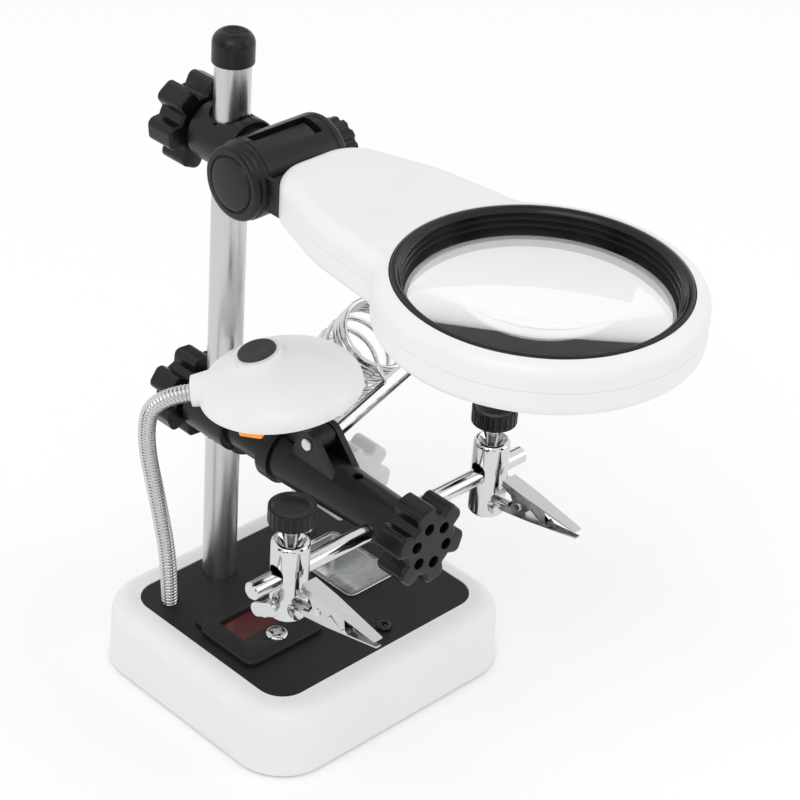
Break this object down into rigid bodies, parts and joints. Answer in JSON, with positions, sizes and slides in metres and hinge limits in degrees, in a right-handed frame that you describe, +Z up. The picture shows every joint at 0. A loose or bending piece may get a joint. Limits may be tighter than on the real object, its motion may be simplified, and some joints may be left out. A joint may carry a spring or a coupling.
{
  "type": "helping hands magnifier station",
  "caption": "Bench helping hands on a weighted base: column with tilting magnifier head, gooseneck lamp, clip rod on an arm, coil rest for a soldering iron and a parts tray.",
  "frame": {"origin": "centre of the base's plan, on the bench under the rubber feet", "axes": "+Z up, -Y towards the front, where the magnifier reaches, +X to the object's right"},
  "size_m": [0.1722, 0.278, 0.3134],
  "materials": {
    "white_plastic": "satin moulded",
    "black_plastic": "fine texture",
    "black_plate": "powder coat",
    "knob_plastic": "satin",
    "steel": "turned and brushed",
    "chrome": "bright plated",
    "brass": "turned",
    "cast_iron": "rough",
    "rubber": "matte",
    "red_window": "clear dark red",
    "amber": "translucent",
    "diffuser": "frosted",
    "grey_button": "soft touch",
    "lens_glass": "polished",
    "cell_wrap": "shrink film"
  },
  "bodies": {
    "base": {"base_shell": "white_plastic", "base_bottom_cover": "black_plastic", "rubber_feet": "rubber", "cover_screws": "steel", "ballast_plate": "cast_iron", "deck_plate": "black_plate", "deck_screw": "chrome", "parts_tray": "chrome", "battery_door": "black_plastic", "indicator_window": "red_window", "door_screw": "chrome", "battery_box": "black_plastic", "battery_cells": "cell_wrap", "panel_nuts": "steel", "column_tube": "steel", "column_cap": "black_plastic", "column_plug": "steel", "column_bolt": "steel", "gooseneck": "chrome", "lamp_shell": "white_plastic", "lamp_base_ring": "white_plastic", "lamp_diffuser": "diffuser", "lamp_amber_led": "amber", "rest_stem": "chrome"},
    "lower_bush": {"lower_clamp_bush": "black_plastic"},
    "lower_clamp": {"lower_clamp_body": "black_plastic", "arm_pin": "chrome"},
    "lower_knob": {"lower_clamp_knob": "knob_plastic"},
    "arm": {"front_arm": "black_plastic"},
    "arm_knob": {"front_knob": "knob_plastic"},
    "plunger": {"rod_plunger": "brass"},
    "sleeve": {"rod_sleeve": "brass"},
    "rod": {"cross_rod": "chrome"},
    "rest": {"rest_clamp": "black_plastic"},
    "rest_knob": {"rest_knob": "white_plastic"},
    "coil": {"iron_coil": "chrome"},
    "upper_bush": {"upper_clamp_bush": "black_plastic"},
    "upper_clamp": {"upper_clamp_body": "black_plastic"},
    "upper_knob": {"upper_clamp_knob": "knob_plastic"},
    "head": {"head_yoke": "black_plastic", "head_top_shell": "white_plastic", "head_bottom_shell": "white_plastic", "lens_bezel": "black_plastic", "lens": "lens_glass"},
    "hinge_knob": {"hinge_knob": "knob_plastic"},
    "button": {"lamp_button": "grey_button"},
    "left_post": {"clip_post_left": "chrome"},
    "left_thumb": {"thumb_screw_left": "knob_plastic"},
    "left_wing": {"wing_screw_left": "chrome"},
    "left_ball": {"clip_ball_left": "chrome"},
    "left_clip": {"clip_lower_jaw_left": "chrome", "clip_rivet_left": "chrome"},
    "left_jaw": {"clip_upper_jaw_left": "chrome"},
    "right_post": {"clip_post_right": "chrome"},
    "right_thumb": {"thumb_screw_right": "knob_plastic"},
    "right_wing": {"wing_screw_right": "chrome"},
    "right_ball": {"clip_ball_right": "chrome"},
    "right_clip": {"clip_lower_jaw_right": "chrome", "clip_rivet_right": "chrome"},
    "right_jaw": {"clip_upper_jaw_right": "chrome"}
  },
  "joints": [
    {"name": "lower_slide", "type": "slide", "parent": "base", "child": "lower_bush", "axis": [0, 0, 1], "range_m": [-0.014, 0.008]},
    {"name": "lower_swivel", "type": "hinge", "parent": "lower_bush", "child": "lower_clamp", "pos_m": [-0.0186, 0.0407, 0.124], "axis": [0, 0, 1], "range_deg": [-35, 22]},
    {"name": "lower_knob_turn", "type": "hinge", "parent": "lower_clamp", "child": "lower_knob", "pos_m": [-0.0186, 0.0607, 0.124], "axis": [0, 1, 0], "range_deg": [0, 180]},
    {"name": "arm_tilt", "type": "hinge", "parent": "lower_clamp", "child": "arm", "pos_m": [-0.0186, -0.0235, 0.1425], "axis": [-1, 0, 0], "range_deg": [0, 40]},
    {"name": "arm_knob_turn", "type": "hinge", "parent": "arm", "child": "arm_knob", "pos_m": [-0.0186, -0.085, 0.124], "axis": [0, 1, 0], "range_deg": [0, 180]},
    {"name": "plunger_slide", "type": "slide", "parent": "arm", "child": "plunger", "axis": [0, 1, 0], "range_m": [0, 0.0005]},
    {"name": "rod_roll", "type": "hinge", "parent": "arm", "child": "sleeve", "pos_m": [-0.0186, -0.0657, 0.12], "axis": [1, 0, 0], "range_deg": [-35, 35]},
    {"name": "rod_slide", "type": "slide", "parent": "sleeve", "child": "rod", "axis": [1, 0, 0], "range_m": [-0.012, 0.012]},
    {"name": "left_post_slide", "type": "slide", "parent": "rod", "child": "left_post", "axis": [-1, 0, 0], "range_m": [-0.02, 0.012]},
    {"name": "left_thumb_turn", "type": "hinge", "parent": "left_post", "child": "left_thumb", "pos_m": [-0.074, -0.0657, 0.14], "axis": [0, 0, 1], "range_deg": [0, 180]},
    {"name": "left_wing_turn", "type": "hinge", "parent": "left_post", "child": "left_wing", "pos_m": [-0.082, -0.0657, 0.107], "axis": [-1, 0, 0], "range_deg": [0, 180]},
    {"name": "left_ball_yaw", "type": "hinge", "parent": "left_post", "child": "left_ball", "pos_m": [-0.074, -0.0657, 0.107], "axis": [0, 0, 1], "range_deg": [-25, 25]},
    {"name": "left_clip_pitch", "type": "hinge", "parent": "left_ball", "child": "left_clip", "pos_m": [-0.074, -0.0657, 0.107], "axis": [1, 0, 0], "range_deg": [-8, 20]},
    {"name": "left_jaw_open", "type": "hinge", "parent": "left_clip", "child": "left_jaw", "pos_m": [-0.074, -0.08797, 0.11377], "axis": [-1, 0, 0], "range_deg": [0, 18], "stiffness_Nm_per_rad": 0.06, "springref_deg": -34.38},
    {"name": "right_post_slide", "type": "slide", "parent": "rod", "child": "right_post", "axis": [1, 0, 0], "range_m": [-0.02, 0.012]},
    {"name": "right_thumb_turn", "type": "hinge", "parent": "right_post", "child": "right_thumb", "pos_m": [0.0465, -0.0657, 0.14], "axis": [0, 0, 1], "range_deg": [0, 180]},
    {"name": "right_wing_turn", "type": "hinge", "parent": "right_post", "child": "right_wing", "pos_m": [0.0545, -0.0657, 0.107], "axis": [1, 0, 0], "range_deg": [0, 180]},
    {"name": "right_ball_yaw", "type": "hinge", "parent": "right_post", "child": "right_ball", "pos_m": [0.0465, -0.0657, 0.107], "axis": [0, 0, -1], "range_deg": [-25, 25]},
    {"name": "right_clip_pitch", "type": "hinge", "parent": "right_ball", "child": "right_clip", "pos_m": [0.0465, -0.0657, 0.107], "axis": [1, 0, 0], "range_deg": [-8, 20]},
    {"name": "right_jaw_open", "type": "hinge", "parent": "right_clip", "child": "right_jaw", "pos_m": [0.0465, -0.08797, 0.11377], "axis": [-1, 0, 0], "range_deg": [0, 18], "stiffness_Nm_per_rad": 0.06, "springref_deg": -34.38},
    {"name": "rest_swivel", "type": "hinge", "parent": "base", "child": "rest", "pos_m": [0.0327, 0.0387, 0.083], "axis": [0, 0, 1], "range_deg": [-5, 60]},
    {"name": "rest_knob_turn", "type": "hinge", "parent": "rest", "child": "rest_knob", "pos_m": [0.0327, 0.01, 0.083], "axis": [0, -1, 0], "range_deg": [0, 180]},
    {"name": "coil_tilt", "type": "hinge", "parent": "rest", "child": "coil", "pos_m": [0.0327, 0.0315, 0.0867], "axis": [-1, 0, 0], "range_deg": [-2, 30]},
    {"name": "upper_slide", "type": "slide", "parent": "base", "child": "upper_bush", "axis": [0, 0, 1], "range_m": [-0.04, 0.015]},
    {"name": "upper_swivel", "type": "hinge", "parent": "upper_bush", "child": "upper_clamp", "pos_m": [-0.0186, 0.0407, 0.2625], "axis": [0, 0, 1], "range_deg": [-90, 90]},
    {"name": "upper_knob_turn", "type": "hinge", "parent": "upper_clamp", "child": "upper_knob", "pos_m": [-0.0186, 0.0607, 0.2625], "axis": [0, 1, 0], "range_deg": [0, 180]},
    {"name": "head_tilt", "type": "hinge", "parent": "upper_clamp", "child": "head", "pos_m": [-0.0186, 0.0096, 0.2625], "axis": [-1, 0, 0], "range_deg": [-20, 60]},
    {"name": "hinge_knob_turn", "type": "hinge", "parent": "head", "child": "hinge_knob", "pos_m": [0.0064, 0.0096, 0.2625], "axis": [1, 0, 0], "range_deg": [0, 180]},
    {"name": "button_press", "type": "slide", "parent": "base", "child": "button", "axis": [0.2051, -0.2124, -0.9554], "range_m": [0, 0.0012], "stiffness_N_per_m": 600, "springref_m": -0.0008}
  ],
  "couplings": [
    {"joint": "plunger_slide", "follows": "arm_knob_turn", "m_per_rad": 0.00015915}
  ]
}
